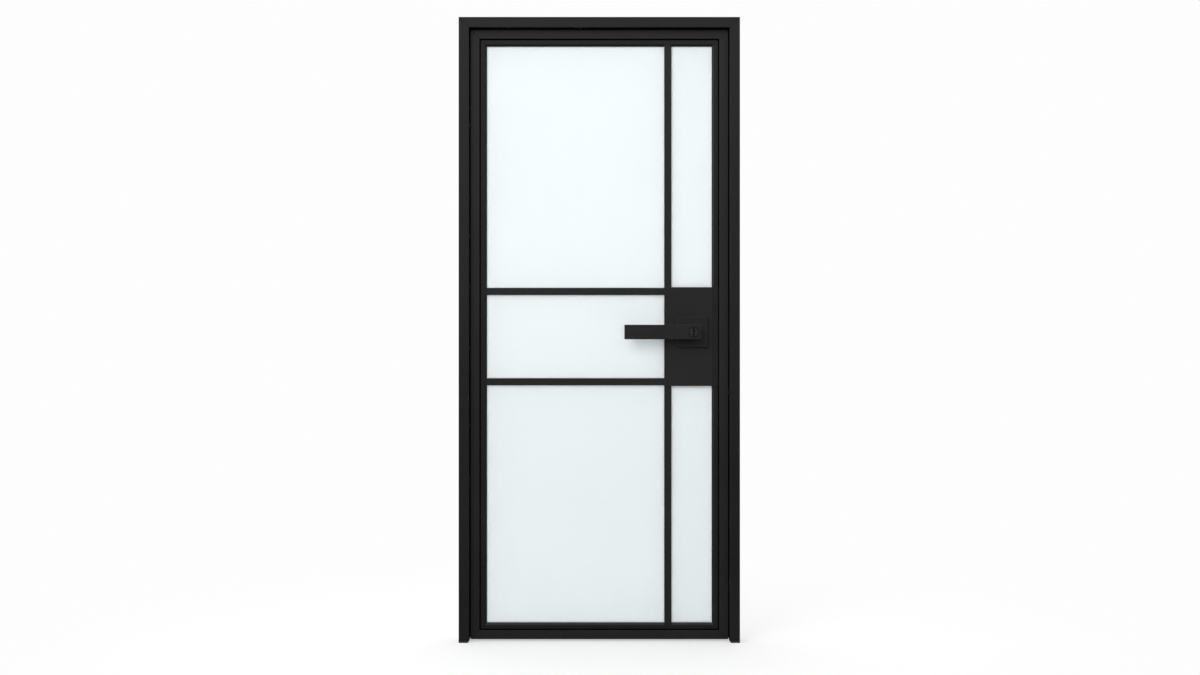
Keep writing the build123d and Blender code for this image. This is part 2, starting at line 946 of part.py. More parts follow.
def lock_plate(front):
    """A lock plate with returned edges on the three sides that meet the glass."""
    if front:
        face, turned, lip_end = plate_front, plate_front + plate_thick, pocket_front
    else:
        face, turned, lip_end = plate_back, plate_back - plate_thick, pocket_back
    y0, y1 = sorted((face, turned))
    plate = block(plate_left, plate_right, y0, y1, plate_bottom, plate_top)
    y0, y1 = sorted((turned, lip_end))
    rim = block(plate_left, plate_right, y0, y1, plate_bottom, plate_top)
    low, high = plate_bottom + plate_lip, plate_top - plate_lip
    rim -= block(plate_left + plate_lip, plate_right, y0, y1, low, high)
    body = plate + rim
    corners = body.edges().filter_by(Axis.Y).group_by(Axis.X)[0]
    body = fillet(corners, edge_round)
    rim_edges = body.faces().sort_by(Axis.Y)[0 if front else -1].edges()
    body = fillet(rim_edges, plate_round)
    body -= facing(spindle_x, face, spindle_height, (0, 1, 0)) * Cylinder(spindle_hole, leaf_thick / 2)
    for x, z in rose_bolt_places():
        body -= facing(x, face, z, (0, 1, 0)) * Cylinder(rose_bolt_radius + fit_clearance, leaf_thick / 2)
    return body


def lock_stile():
    """The lock stile, with its back leg cut away behind the lock plates and the latch's windows."""
    body = leaf_member("right")
    inner = leaf_right - sight_edge
    body -= block(inner, leaf_right - stile_face, pocket_front, leaf_back, plate_bottom, plate_top)
    body -= case_block(fit_clearance)
    return body - faceplate_block(fit_clearance)


def hinge_stile():
    """The hinge stile with the holes for the hinge screws."""
    body = leaf_member("left")
    for tool in leaf_screw_tools(fit_clearance):
        body -= tool
    return body


# Lever set


def rose_bolt_places():
    """The bolts stand above and below the spindle."""
    return [(spindle_x, spindle_height - rose_bolt_offset), (spindle_x, spindle_height + rose_bolt_offset)]


def rose(front):
    """A square rose that carries the lever's neck."""
    face = plate_front if front else plate_back
    outward = -1 if front else 1
    body = Box(rose_size, rose_size, rose_thick)
    body = fillet(body.edges().filter_by(Axis.Z), rose_corner)
    body = chamfer(body.faces().sort_by(Axis.Z)[-1].edges(), rose_chamfer)
    place = Plane(origin=(spindle_x, face, spindle_height), x_dir=(1, 0, 0), z_dir=(0, outward, 0))
    body = place * Pos(0, 0, rose_thick / 2) * body
    bore = Cylinder(neck_radius + running_clearance, 3 * rose_thick)
    body -= facing(spindle_x, face, spindle_height, (0, 1, 0)) * bore
    for x, z in rose_bolt_places():
        hole = Cylinder(rose_bolt_radius + running_clearance, 2 * rose_bolt_grip)
        body -= facing(x, face, z, (0, 1, 0)) * hole
    return body


def rose_bolts():
    """The two bolts that draw the roses together through the lock box."""
    length = plate_back - plate_front + 2 * rose_bolt_grip
    middle = (plate_back + plate_front) / 2
    bolt = Cylinder(rose_bolt_radius, length)
    return [facing(x, middle, z, (0, 1, 0)) * bolt for x, z in rose_bolt_places()]


def turned(radius, near, far):
    """A round bar on the spindle's axis between two distances in front of the leaf's middle."""
    place = facing(spindle_x, leaf_middle - (near + far) / 2, spindle_height, (0, 1, 0))
    return place * Cylinder(radius, far - near)


def lever_body():
    """The lever's bar and neck, pointing to the front, with the spindle's square socket."""
    face = leaf_middle - lever_front
    back = face - lever_thick
    end = leaf_middle - plate_front + neck_end
    right = spindle_x + lever_height / 2
    bar = block(
        right - lever_length,
        right,
        lever_front,
        lever_front + lever_thick,
        spindle_height - lever_height / 2,
        spindle_height + lever_height / 2,
    )
    bar = fillet(bar.edges(), lever_round)
    body = bar + turned(neck_radius, end, back)
    bar_back = lever_front + lever_thick
    near_root = body.edges().filter_by_position(Axis.Y, bar_back - fit_clearance, bar_back + fit_clearance)
    root = near_root.filter_by(GeomType.CIRCLE).sort_by(SortBy.RADIUS)[-1]
    body = fillet(root, neck_fillet)
    side = spindle_side + 2 * fit_clearance
    depth = leaf_middle - plate_front + spindle_end - end
    socket = Box(side, depth, side)
    middle = leaf_middle - end - depth / 2
    return body - Pos(spindle_x, middle, spindle_height) * socket


def front_lever():
    """The outside lever, bored for the key cylinder."""
    face = leaf_middle - lever_front
    shoulder = face - collar_depth
    bottom = shoulder - cylinder_depth
    body = lever_body() - turned(collar_radius + collar_groove, shoulder, face + cut_overrun)
    body -= turned(cylinder_radius + fit_clearance, bottom, face)
    return body - turned(tail_hole_radius, 0, face)


def back_lever():
    """The inside lever, the same casting bored for the turn button's stem."""
    body = lever_body() - turned(button_stem_radius + running_clearance, 0, 2 * lever_reach)
    side = Plane.XZ.offset(-leaf_middle)
    return mirror(body, about=side)


def lock_cylinder():
    """The cylinder body held in the outside lever."""
    face = leaf_middle - lever_front
    shoulder = face - collar_depth
    collar = turned(collar_radius, shoulder, face + collar_proud)
    collar = chamfer(collar.edges().group_by(Axis.Y)[0], collar_chamfer)
    body = collar + turned(cylinder_radius, shoulder - cylinder_depth, shoulder)
    seat = face + collar_proud - plug_head_depth - running_clearance
    body -= turned(plug_radius + running_clearance, seat, face + 2 * collar_proud)
    return body - turned(plug_shaft_radius + running_clearance, 0, face)


def keyway():
    """The keyway's stepped slot, looking along the key."""
    half_width, half_height = keyway_width / 2, keyway_height / 2
    return outline([(half_width * across, half_height * up) for across, up in keyway_corners])


def key_plug():
    """The plug that the key turns."""
    face = leaf_middle - lever_front + collar_proud
    shoulder = leaf_middle - lever_front - collar_depth
    body = turned(plug_radius, face - plug_head_depth, face)
    body = chamfer(body.edges().group_by(Axis.Y)[0], collar_chamfer)
    body += turned(plug_shaft_radius, shoulder - cylinder_depth, face - plug_head_depth / 2)
    place = Plane(origin=(spindle_x, leaf_middle - face, spindle_height), x_dir=(1, 0, 0), z_dir=(0, -1, 0))
    return body - extrude(place * keyway(), amount=keyway_depth, dir=(0, 1, 0))


def turn_button():
    """The inside turn button, with its stem and the tail bar that reaches the key plug."""
    face = leaf_middle - lever_front
    shoulder = face - collar_depth
    stem_end = face - collar_depth - cylinder_depth
    stem = turned(button_stem_radius, -face, -stem_end)
    flange = turned(button_flange_radius, -face - button_flange, -face)
    flange = chamfer(flange.edges().group_by(Axis.Y)[-1], button_flange_chamfer)
    tail = turned(tail_radius, -stem_end, shoulder - cylinder_depth)
    grip = Box(button_width, button_grip, 2 * (button_flange_radius - button_flange / 2))
    grip = fillet(grip.edges().filter_by(Axis.Y), button_corner)
    grip = fillet(grip.faces().sort_by(Axis.Y)[-1].edges(), button_round)
    outer = leaf_middle + face + button_flange + button_grip / 2
    return stem + flange + tail + Pos(spindle_x, outer, spindle_height) * grip


def spindle():
    """The square tube that joins both levers through the latch hub."""
    reach = leaf_middle - plate_front + spindle_end - fit_clearance
    body = Pos(spindle_x, leaf_middle, spindle_height) * Box(spindle_side, 2 * reach, spindle_side)
    body = chamfer(body.edges().filter_by(Axis.Y), spindle_corner)
    return body - turned(spindle_bore, -2 * reach, 2 * reach)


# Latch


def case_block(grow=0.0):
    """Outside of the latch case, or its window."""
    return block(
        spindle_x - case_behind_hub - grow,
        leaf_right - faceplate_thick,
        latch_y - case_thick / 2 - grow,
        latch_y + case_thick / 2 + grow,
        spindle_height - case_height / 2 - grow,
        spindle_height + case_height / 2 + grow,
    )


def faceplate_block(grow=0.0):
    """Outside of the faceplate, or its window in the stile's edge."""
    return block(
        leaf_right - faceplate_thick,
        leaf_right + grow,
        latch_y - faceplate_width / 2 - grow,
        latch_y + faceplate_width / 2 + grow,
        spindle_height - faceplate_height / 2 - grow,
        spindle_height + faceplate_height / 2 + grow,
    )


def bolt_block(grow, x0, x1):
    """The latch bolt's head, or its guide."""
    return block(
        x0,
        x1,
        latch_y - latch_thick / 2 - grow,
        latch_y + latch_thick / 2 + grow,
        spindle_height - latch_height / 2 - grow,
        spindle_height + latch_height / 2 + grow,
    )


def faceplate_screws(grow=0.0):
    """The two faceplate screws, or their holes."""
    screws = []
    for turn in (-1, 1):
        height = spindle_height + turn * (case_height / 2 + case_tab) / 2
        place = facing(leaf_right, latch_y, height, (1, 0, 0))
        screws.append(place * countersunk(small_screw_radius, small_head_radius, small_screw_length, grow))
    return screws


def faceplate():
    """The plate round the latch in the leaf's edge."""
    body = faceplate_block()
    body -= bolt_block(fit_clearance, leaf_right - 2 * faceplate_thick, leaf_right + cut_overrun)
    for tool in faceplate_screws(fit_clearance):
        body -= tool
    return body


def latch_case():
    """The folded case round the latch, with a tab above and below for the faceplate."""
    body = case_block()
    end = leaf_right - faceplate_thick
    y0, y1 = latch_y - case_thick / 2, latch_y + case_thick / 2
    body -= block(
        spindle_x - case_behind_hub + case_wall,
        end - 2 * case_wall,
        y0 + case_wall,
        y1 - case_wall,
        spindle_height - case_height / 2 + case_wall,
        spindle_height + case_height / 2 - case_wall,
    )
    body += block(end - 2 * case_wall, end, y0, y1, spindle_height - case_tab, spindle_height + case_tab)
    body -= bolt_block(fit_clearance, end - 3 * case_wall, end + cut_overrun)
    bore = Cylinder(trunnion_radius + running_clearance, 2 * case_thick)
    body -= facing(spindle_x, latch_y, spindle_height, (0, 1, 0)) * bore
    for tool in faceplate_screws(fit_clearance):
        body -= tool
    return body


def latch_hub():
    """The hub on the spindle, with the finger that draws the bolt back."""
    place = facing(spindle_x, latch_y, spindle_height, (0, 1, 0))
    width = case_thick - 2 * case_wall - 2 * hub_side_clearance
    body = place * Cylinder(hub_radius, width) + place * Cylinder(trunnion_radius, case_thick)
    body += block(
        spindle_x - finger_width / 2,
        spindle_x + finger_width / 2,
        latch_y - finger_thick / 2,
        latch_y + finger_thick / 2,
        spindle_height,
        spindle_height + finger_reach,
    )
    side = spindle_side + 2 * fit_clearance
    return body - Pos(spindle_x, latch_y, spindle_height) * Box(side, 2 * case_thick, side)


def latch_bolt():
    """The sprung bolt, bevelled on the side that meets the strike, with its tail over the hub."""
    back = leaf_right - latch_back
    body = bolt_block(0, back, latch_tip)
    front = latch_y - latch_thick / 2
    bevel = [
        (latch_tip, latch_y + latch_thick / 2 - latch_flat),
        (latch_tip + cut_overrun, front - cut_overrun),
        (latch_tip - latch_bevel, front - cut_overrun),
        (latch_tip - latch_bevel, front),
    ]
    body -= Pos(0, 0, spindle_height) * extrude(outline(bevel), amount=latch_height, both=True)
    y0, y1 = latch_y - tail_thick / 2, latch_y + tail_thick / 2
    end = lug_right - tail_height
    head_top = spindle_height + latch_height / 2
    body += block(back, back + 2 * tail_height, y0, y1, head_top - tail_height, tail_bottom + tail_height)
    body += block(end, back + tail_height, y0, y1, tail_bottom, tail_bottom + tail_height)
    lug_low = tail_bottom - finger_clearance - tail_height
    return body + block(end, lug_right, y0, y1, lug_low, tail_bottom + tail_height)


def latch_spring():
    """The spring between the case and the bolt's tail, bent from short straight lengths of wire."""
    start = spindle_x - case_behind_hub + case_wall + spring_end_gap + spring_wire
    end = lug_right - tail_height - spring_end_gap - spring_wire
    bends = spring_turns * bends_per_turn
    points = []
    for bend in range(bends + 1):
        turn = 2 * math.pi * bend / bends_per_turn
        forward = (end - start) * bend / bends
        points.append((spring_radius * math.cos(turn), spring_radius * math.sin(turn), forward))
    path = Polyline(*points)
    section = Plane(origin=path @ 0, z_dir=path % 0) * RegularPolygon(spring_wire / 2, wire_sides)
    wire = sweep(section, path=path, transition=Transition.RIGHT)
    return Plane(origin=(start, latch_y, tail_bottom), z_dir=(1, 0, 0)) * wire


def write(name, pieces):
    """Writes one node's solids to a file of its own."""
    pieces = pieces if isinstance(pieces, list) else [pieces]
    solids = [solid for piece in pieces for solid in piece.solids()]
    shape = solids[0] if len(solids) == 1 else Compound(children=solids)
    export_step(shape, f"parts/{name}.step")
    print(name, len(solids), round(sum(solid.volume for solid in solids)))


def build():
    """Makes every piece and writes it."""
    os.makedirs("parts", exist_ok=True)
    write("hinge_jamb", jamb("left"))
    write("lock_jamb", jamb("right"))
    write("frame_head", head())
    write("frame_cleats", frame_cleats())
    write("foot_caps", [foot_cap("left"), foot_cap("right")])
    write("rebate_seal", rebate_seal())
    write("strike_plate", strike_plate())
    write("strike_box", strike_box())
    write("strike_screws", strike_screw_tools())
    for name, height in zip(("bottom", "middle", "top"), hinge_heights):
        write(f"{name}_hinge_frame_wing", frame_wing(height))
        write(f"{name}_hinge_leaf_wing", leaf_wing(height))
    write("hinge_pins", [hinge_pin(height) for height in hinge_heights])
    write("hinge_screws_frame", frame_screw_tools())
    write("hinge_screws_leaf", leaf_screw_tools())

    write("hinge_stile", hinge_stile())
    write("lock_stile", lock_stile())
    write("top_rail", leaf_member("top"))
    write("bottom_rail", leaf_member("bottom"))
    write("leaf_cleats", leaf_cleats())
    write("upper_muntin", muntin("top"))
    write("lower_muntin", muntin("bottom"))
    write("muntin_caps", [muntin_cap("top"), muntin_cap("bottom")])
    write("upper_bar", cross_bar(upper_bar_height))
    write("lower_bar", cross_bar(lower_bar_height))
    write("bar_caps", [cross_cap(upper_bar_height), cross_cap(lower_bar_height)])
    for name in sight_openings():
        write(name, pane(name))
    write("hinge_side_bead", bead("left"))
    write("top_bead", bead("top"))
    write("bottom_bead", bead("bottom"))
    write("lock_side_bead_upper", lock_side_bead(plate_top, leaf_top))
    write("lock_side_bead_lower", lock_side_bead(leaf_bottom, plate_bottom))
    write("front_gaskets", gaskets(pocket_front, glass_front))
    write("back_gaskets", gaskets(glass_back, pocket_back))
    write("setting_blocks", setting_blocks())
    write("lock_box", lock_box())
    write("front_lock_plate", lock_plate(True))
    write("back_lock_plate", lock_plate(False))
    write("latch_case", latch_case())
    write("faceplate", faceplate())
    write("faceplate_screws", faceplate_screws())
    write("latch_spring", latch_spring())
    write("front_rose", rose(True))
    write("back_rose", rose(False))
    write("rose_bolts", rose_bolts())

    write("front_lever", front_lever())
    write("back_lever", back_lever())
    write("spindle", spindle())
    write("latch_hub", latch_hub())
    write("lock_cylinder", lock_cylinder())
    write("key_plug", key_plug())
    write("turn_button", turn_button())
    write("latch_bolt", latch_bolt())


build()
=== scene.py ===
# %% [markdown]
# # A slim black door with frosted panes
#
# The door is a black leaf of slim metal profiles with five frosted panes, hung in a frame of two jambs and
# a head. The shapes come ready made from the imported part, one Blender object for each piece, in metres.
# This lesson gives them their finishes, remakes the screws with a cross recess, and sets up the white
# studio that the door was photographed in.

# %% Load the door
import math

import bmesh
import bpy
from mathutils import Matrix, Vector


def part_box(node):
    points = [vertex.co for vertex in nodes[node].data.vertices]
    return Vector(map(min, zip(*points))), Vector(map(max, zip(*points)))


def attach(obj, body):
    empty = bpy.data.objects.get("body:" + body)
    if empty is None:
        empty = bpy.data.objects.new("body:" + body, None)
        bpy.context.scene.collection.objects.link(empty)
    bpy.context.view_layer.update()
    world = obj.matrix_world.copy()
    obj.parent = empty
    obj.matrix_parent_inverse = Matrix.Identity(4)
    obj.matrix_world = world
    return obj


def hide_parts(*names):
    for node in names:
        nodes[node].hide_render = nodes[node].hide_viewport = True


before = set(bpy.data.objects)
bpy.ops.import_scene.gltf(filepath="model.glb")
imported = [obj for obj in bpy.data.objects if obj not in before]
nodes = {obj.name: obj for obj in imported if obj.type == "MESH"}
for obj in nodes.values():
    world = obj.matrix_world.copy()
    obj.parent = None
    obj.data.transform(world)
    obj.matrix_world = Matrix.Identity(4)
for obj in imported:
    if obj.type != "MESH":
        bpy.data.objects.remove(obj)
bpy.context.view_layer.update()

print("pieces:", len(nodes))


# %% [markdown]
# ## Writing shaders as sums
#
# A finish is easier to read as a formula than as a web of nodes. A `Wire` stands for what comes out of a
# node, and it can be added, subtracted and multiplied like a number. Each of these places one Math node.
# The reflected forms, such as `__rsub__`, let a plain number come first, as in `1.0 - mask`.

# %% Wires
noise_margin = 0.3


class Wire:
    """What comes out of a node, ready to be used in a sum."""

    def __init__(self, graph, socket):
        self.graph = graph
        self.socket = socket

    def maths(self, operation, other, swapped=False):
        first, second = (other, self) if swapped else (self, other)
        return self.graph.node("ShaderNodeMath", {"operation": operation}, {0: first, 1: second})

    def __add__(self, other):
        return self.maths("ADD", other)

    def __radd__(self, other):
        return self.maths("ADD", other, swapped=True)

    def __sub__(self, other):
        return self.maths("SUBTRACT", other)

    def __rsub__(self, other):
        return self.maths("SUBTRACT", other, swapped=True)

    def __mul__(self, other):
        return self.maths("MULTIPLY", other)

    def __rmul__(self, other):
        return self.maths("MULTIPLY", other, swapped=True)

    def __abs__(self):
        return self.maths("ABSOLUTE", 0.0)

    def smaller(self, other):
        return self.maths("MINIMUM", other)

    def larger(self, other):
        return self.maths("MAXIMUM", other)

    def choose(self, first, second):
        """The first where this wire is 1, and the second where it is 0."""
        return self * first + (1.0 - self) * second

    def ramp(self, start, end, low=0.0, high=1.0):
        """Runs smoothly from low to high while this wire runs from start to end."""
        settings = {"interpolation_type": "SMOOTHSTEP", "clamp": True}
        sockets = {"Value": self, "From Min": start, "From Max": end, "To Min": low, "To Max": high}
        return self.graph.node("ShaderNodeMapRange", settings, sockets)

    def below(self, limit, run):
        """1 up to the limit, and 0 from a short run beyond it."""
        return self.ramp(limit, limit + run, 1.0, 0.0)

    def spread(self, low=0.0, high=1.0, margin=noise_margin):
        """Stretches a noise, which keeps near its middle, so that it runs all the way from low to high."""
        return self.ramp(margin, 1 - margin, low, high)


print("wires can be added, subtracted, multiplied, compared and ramped")


# %% [markdown]
# ## Placing any other node
#
# A `Graph` holds the nodes of one material or of the world. Its `node` method places a node of any type:
# first its settings, such as the operation of a Math node, and then the numbers, colours or wires of its
# sockets. The methods after it are short names for the nodes that several finishes share. They all work in
# metres, in the door's own frame, so a pattern has its real size on every piece and goes with the piece
# when the leaf swings.

# %% Graphs
class Graph:
    """The nodes of one material or of the world."""

    def __init__(self, owner):
        owner.use_nodes = True
        self.tree = owner.node_tree
        self.tree.nodes.clear()

    def node(self, kind, settings=None, sockets=None, out=0):
        placed = self.tree.nodes.new(kind)
        for name, value in (settings or {}).items():
            setattr(placed, name, value)
        for name, value in (sockets or {}).items():
            if isinstance(value, Wire):
                self.tree.links.new(value.socket, placed.inputs[name])
            else:
                placed.inputs[name].default_value = value
        return Wire(self, placed.outputs[out]) if placed.outputs else None

    def place(self):
        """The point of the piece that is being shaded, in the door's own frame."""
        return self.node("ShaderNodeTexCoord", out="Object")

    def component(self, axis, vector):
        """The X, Y or Z of a vector."""
        return self.node("ShaderNodeSeparateXYZ", None, {0: vector}, out=axis)

    def along(self, axis):
        """How far the point is along X, Y or Z."""
        return self.component(axis, self.place())

    def vectors(self, operation, first, second=(0, 0, 0), out="Vector"):
        """One step of vector maths, such as a product, a distance or a length."""
        return self.node("ShaderNodeVectorMath", {"operation": operation}, {0: first, 1: second}, out)

    def noise(self, size, detail=2.0, stretch=(1, 1, 1)):
        """Soft clouds from 0 to 1. The size is about that of one cloud."""
        scaled = self.node("ShaderNodeMapping", None, {"Vector": self.place(), "Scale": stretch})
        return self.node("ShaderNodeTexNoise", None, {"Vector": scaled, "Scale": 1 / size, "Detail": detail})

    def ray(self, kind):
        """1 for rays of one kind, such as those that come straight from the camera, and 0 for the others."""
        return self.node("ShaderNodeLightPath", out=kind)

    def blend(self, share, first, second):
        """A colour that runs from first to second as share runs from 0 to 1."""
        return self.node("ShaderNodeMix", {"data_type": "RGBA"}, {0: share, 6: first, 7: second}, out=2)

    def greys(self, share, level, darker, lighter, cool=0.0, warm=0.0):
        """A grey that runs from level times darker to level times lighter, and from cool to warm."""
        return self.blend(share, grey(level * darker, -cool), grey(level * lighter, warm))

    def bump(self, height, depth):
        """Raises the surface by height times depth."""
        return self.node("ShaderNodeBump", None, {"Height": height, "Distance": depth})

    def principled(self, sockets):
        """The shader that most finishes are made with, from glass to bare metal."""
        return self.node("ShaderNodeBsdfPrincipled", None, sockets)

    def matt(self, colour):
        """A surface that only scatters light and never shines."""
        return self.node("ShaderNodeBsdfDiffuse", None, {"Color": colour})

    def mix(self, share, first, second):
        """A surface that is first where share is 0 and second where it is 1."""
        return self.node("ShaderNodeMixShader", None, {0: share, 1: first, 2: second})

    def surface(self, shader):
        self.node("ShaderNodeOutputMaterial", None, {"Surface": shader})


def grey(level, warmth=0.0):
    """A linear grey. A positive warmth leans it to red and a negative one to blue."""
    return (level * (1 + warmth), level, level * (1 - warmth), 1.0)


print("a middle grey:", grey(0.5))


# %% [markdown]
# ## Where two profiles meet
#
# Two profiles that meet in a mitre are coated before they are joined, so the coat stops at both edges and
# leaves a dark hairline. A groove that thin would need a mesh of its own. It is easier to find it by its
# place: on a mitre, a point is as far from the side as it is from the top or the bottom. The frame has no
# piece along the floor, so its lower edge is put far under the ground, where it draws nothing.

# %% Mitres
frame_low, frame_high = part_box("frame_head")
frame_half_width = frame_high[0]
frame_top = frame_high[2]
frame_face_width = frame_top - frame_low[2]
under_ground = -frame_top

rail_low, rail_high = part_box("bottom_rail")
running_gap = 0.003
leaf_half_width = rail_high[0]
leaf_top = frame_low[2] - running_gap
leaf_bottom = rail_low[2]
leaf_face_width = rail_high[2] - leaf_bottom
leaf_face = rail_low[1]

hairline = 0.0011
hairline_core = 0.3


def mitre_lines(graph, half_width, top, bottom, face_width):
    """1 on the mitres of a rectangle of profiles, and 0 away from them."""
    from_side = half_width - abs(graph.along("X"))
    to_top = abs(from_side - (top - graph.along("Z")))
    to_bottom = abs(from_side - (graph.along("Z") - bottom))
    line = to_top.smaller(to_bottom).ramp(hairline * hairline_core, hairline, 1.0, 0.0)
    return line * from_side.below(face_width, hairline)


frame_mitres = (frame_half_width, frame_top, under_ground, frame_face_width)
leaf_mitres = (leaf_half_width, leaf_top, leaf_bottom, leaf_face_width)
print("mitres of the frame:", frame_mitres)
print("mitres of the leaf:", leaf_mitres)


# %% [markdown]
# ## Painted shade in the joint round the panes
#
# A snap-in bead holds the panes against each profile of the leaf. Down in the narrow joint between them a
# matt black is painted in as shade, darker than the lamps alone leave the groove. The joint and the bead lie
# at the same distance from the leaf's edge all round, so one sum finds both. The beads get a small share of
# the same black, a painted shade that makes them a little darker than the profiles beside them.

# %% Bead joint
profile_face = 0.030
joint_width = 0.0034
joint_end = profile_face + joint_width
joint_run = 0.002
joint_floor = -0.005
bead_painted_shade_share = 0.2
sharp = 0.0002


def bead_joint_painted_shade(graph):
    """Painted shade: 1 down in the joint between the profiles and the beads, a little on the beads, and 0
    elsewhere.
    """
    from_side = leaf_half_width - abs(graph.along("X"))
    height = graph.along("Z")
    from_edge = from_side.smaller(leaf_top - height).smaller(height - leaf_bottom)
    depth = graph.along("Y")
    joint_mouth = leaf_face + sharp
    joint = from_edge.ramp(profile_face - sharp, profile_face) * from_edge.below(joint_end, sharp)
    joint = joint * depth.ramp(joint_mouth, joint_mouth + joint_run)
    bead = from_edge.ramp(joint_end, joint_end + sharp) * from_edge.below(leaf_face_width, sharp)
    # Painted shade in the bead joint, and a smaller share of it on the beads.
    return (joint + bead * bead_painted_shade_share) * depth.below(joint_floor, sharp)


print("joint round the beads:", round(1000 * joint_width, 1), "mm wide")


# %% [markdown]
# ## Powder coat
#
# Powder is sprayed dry on the profiles and baked until it flows, so the coat is even, nearly matt, and very
# slightly pebbled like the skin of an orange. The pebbles are about a millimetre wide, far too small to
# model, so a bump does them. The coat is a little thinner in some places than in others, which a slow noise
# in the colour and in the roughness gives. On the mitre hairlines a matt black takes over, and the same
# black is painted shade in the bead joint and on the beads. The leaf is a little paler than the frame in the
# photo. The hinges, which it doesn't show, are given a level between the two.

# %% Powder coat
drift_size = 0.35
drift_margin = 0.25
drift_share = 0.7
pebble_size = 0.0011
pebble_depth = 0.00002
coat_swing = 0.03
black_coat_gloss = 0.42
mitre_darkness = 0.75
hairline_and_shade_black = 0.002


def powder_coat(name, level, roughness, mitres=None, joint=False):
    material = bpy.data.materials.new(name)
    graph = Graph(material)
    drift = graph.noise(drift_size, detail=3.0)
    pebbles = graph.noise(pebble_size, detail=1.0)
    shade = (drift * drift_share + pebbles * (1 - drift_share)).spread()
    coat = graph.principled({
        "Base Color": graph.greys(shade, level, darker=0.88, lighter=1.12, cool=0.012, warm=0.008),
        "Roughness": drift.spread(roughness - coat_swing, roughness + coat_swing, drift_margin),
        "Normal": graph.bump(pebbles, pebble_depth),
        "Specular IOR Level": black_coat_gloss,
    })
    # Matt black on the mitre hairlines; in the bead joint and on the beads it is painted shade.
    if mitres:
        hairline_and_painted_shade = mitre_lines(graph, *mitres) * mitre_darkness
        if joint:
            hairline_and_painted_shade = hairline_and_painted_shade.larger(bead_joint_painted_shade(graph))
        coat = graph.mix(hairline_and_painted_shade, coat, graph.matt(grey(hairline_and_shade_black)))
    graph.surface(coat)
    return material


frame_coat = powder_coat("frame_powder_coat", level=0.006, roughness=0.37, mitres=frame_mitres)
leaf_coat = powder_coat("leaf_powder_coat", level=0.0095, roughness=0.37, mitres=leaf_mitres, joint=True)
hinge_coat = powder_coat("hinge_powder_coat", level=0.008, roughness=0.4)
print("powder coats:", frame_coat.name, leaf_coat.name, hinge_coat.name)


# %% [markdown]
# ## Frosted glass
#
# The panes are etched until they scatter whatever is behind them, so they read as sheets of milky light
# that darken softly beside the metal. A rough, almost colourless glass does that by itself: near a bead
# some of the scattered rays end in the dark pocket that holds the pane. Its index of refraction is lower
# than that of real glass, so that less light is caught between the two rough faces. The etched skin also
# sends a part of the light straight back, and that part is an opaque white mixed into the glass.

# %% Frosted glass
etching_size = 0.0008
etching_depth = 0.000015
etching_margin = 0.2
cloud_size = 0.6
deep_tint = (0.925, 0.975, 0.99, 1.0)
clear_tint = (0.94, 0.985, 1.0, 1.0)
through_roughness = (0.5, 0.6)
back_roughness = (0.45, 0.6)
pane_bending = 1.2
sent_back = 0.4


def frosted_glass(name):
    material = bpy.data.materials.new(name)
    graph = Graph(material)
    etching = graph.noise(etching_size, detail=2.0)
    cloud = graph.noise(cloud_size, detail=1.0)
    tint = graph.blend(cloud.spread(), deep_tint, clear_tint)
    skin = graph.bump(etching, etching_depth)
    through = graph.principled({
        "Base Color": tint,
        "Roughness": etching.spread(*through_roughness, etching_margin),
        "IOR": pane_bending,
        "Transmission Weight": 1.0,
        "Normal": skin,
    })
    back = graph.principled({
        "Base Color": tint,
        "Roughness": etching.spread(*back_roughness, etching_margin),
        "Normal": skin,
    })
    graph.surface(graph.mix(sent_back, through, back))
    return material


pane_glass = frosted_glass("frosted_pane")
print("glass:", pane_glass.name)


# %% [markdown]
# ## Rubber and plastic
#
# The rebate seal and the glazing gaskets are soft black rubber, dull all over. The foot caps, the setting
# blocks under the panes and the dust box behind the strike are moulded plastic, which shines a little more.
# Both take the fine, even grain of the tool that formed them, so one function makes both.

# %% Rubber and plastic
grain_depth = 0.00001
shinier_by = 0.08
duller_by = 0.06


def moulded(name, level, roughness, grain_size):
    material = bpy.data.materials.new(name)
    graph = Graph(material)
    grain = graph.noise(grain_size, detail=2.0)
    graph.surface(graph.principled({
        "Base Color": graph.greys(grain.spread(), level, darker=0.8, lighter=1.2),
        "Roughness": grain.spread(roughness - shinier_by, roughness + duller_by),
        "Normal": graph.bump(grain, grain_depth),
    }))
    return material


seal_rubber = moulded("seal_rubber_finish", level=0.012, roughness=0.8, grain_size=0.0006)
black_plastic = moulded("plastic_finish", level=0.02, roughness=0.55, grain_size=0.0004)
print("soft parts:", seal_rubber.name, black_plastic.name)


# %% [markdown]
# ## Painted shade in the lock cylinder
#
# The keyway and the fine joint round the key plug are deep, narrow hollows, and a plain black finish would
# still catch light on their walls. So both get a near-black matt as painted shade, found by their place: the
# keyway is what lies just below the plug's face, and the joint is a ring of the plug's radius.

# %% Keyway and plug joint
plug_low, plug_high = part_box("key_plug")
plug_middle = ((plug_low[0] + plug_high[0]) / 2, 0.0, (plug_low[2] + plug_high[2]) / 2)
plug_radius = (plug_high[0] - plug_low[0]) / 2
plug_face = plug_low[1]
plug_joint = 0.0008
keyway_edge = 0.0006
keyway_depth = 0.021


def keyway_painted_shade(graph):
    """Painted shade: 1 below the plug's face, down to the keyway's end, and in the ring round the plug. 0
    elsewhere.
    """
    depth = graph.along("Y")
    below_face = depth.ramp(plug_face + keyway_edge / 2, plug_face + keyway_edge)
    flat = graph.vectors("MULTIPLY", graph.place(), (1, 0, 1))
    from_middle = graph.vectors("DISTANCE", flat, plug_middle, out="Value")
    joint = abs(from_middle - plug_radius).ramp(plug_joint / 2, plug_joint, 1.0, 0.0)
    return below_face.larger(joint) * depth.below(plug_face + keyway_depth, keyway_edge)


